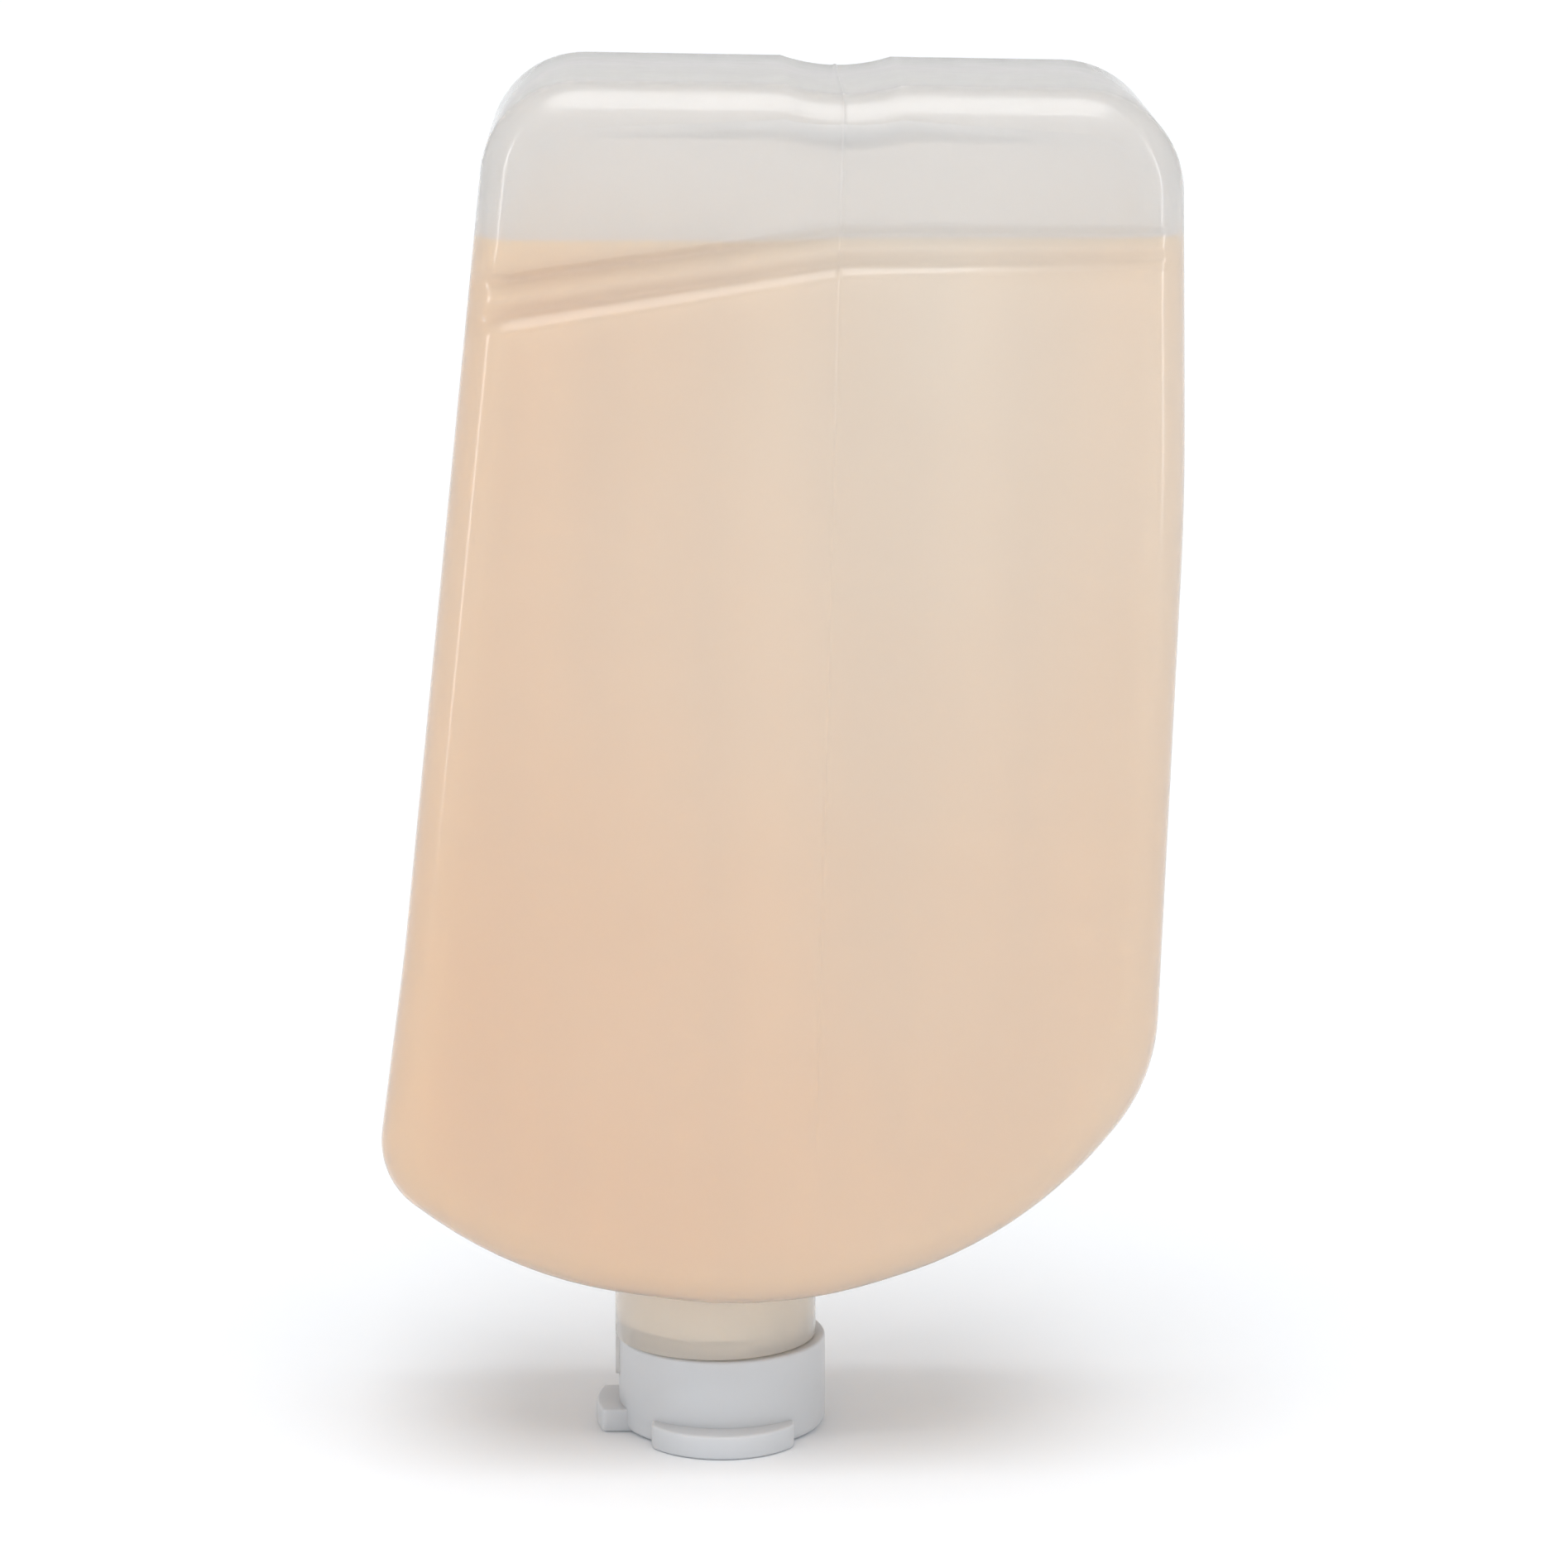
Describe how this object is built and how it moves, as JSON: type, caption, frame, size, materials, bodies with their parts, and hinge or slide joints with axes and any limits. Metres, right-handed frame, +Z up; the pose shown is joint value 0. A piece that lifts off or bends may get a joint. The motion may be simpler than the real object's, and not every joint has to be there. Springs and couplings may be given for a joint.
{
  "type": "hand soap refill pack",
  "caption": "Translucent blow-moulded dispenser refill bottle held neck down, with a slanted side, a grip groove, liquid soap inside and a bayonet closure.",
  "frame": {"origin": "centre of the closure's lower end face, on the closure's axis", "axes": "+Z up from the closure through the neck to the bottle's base, -Y out of the broad face with the grip groove, +X towards the upright side"},
  "size_m": [0.1135, 0.0574, 0.2002],
  "materials": {
    "natural_hdpe": "milky translucent blown polyethylene, satin, with a soft sheen",
    "peach_soap": "opaque pearly peach liquid",
    "translucent_pp": "cool grey-white translucent moulded polypropylene, smooth",
    "silicone": "milky soft silicone, matt"
  },
  "bodies": {
    "root": {"bottle": "natural_hdpe", "soap": "peach_soap", "closure_cap": "translucent_pp", "outlet_membrane": "silicone"}
  },
  "joints": []
}
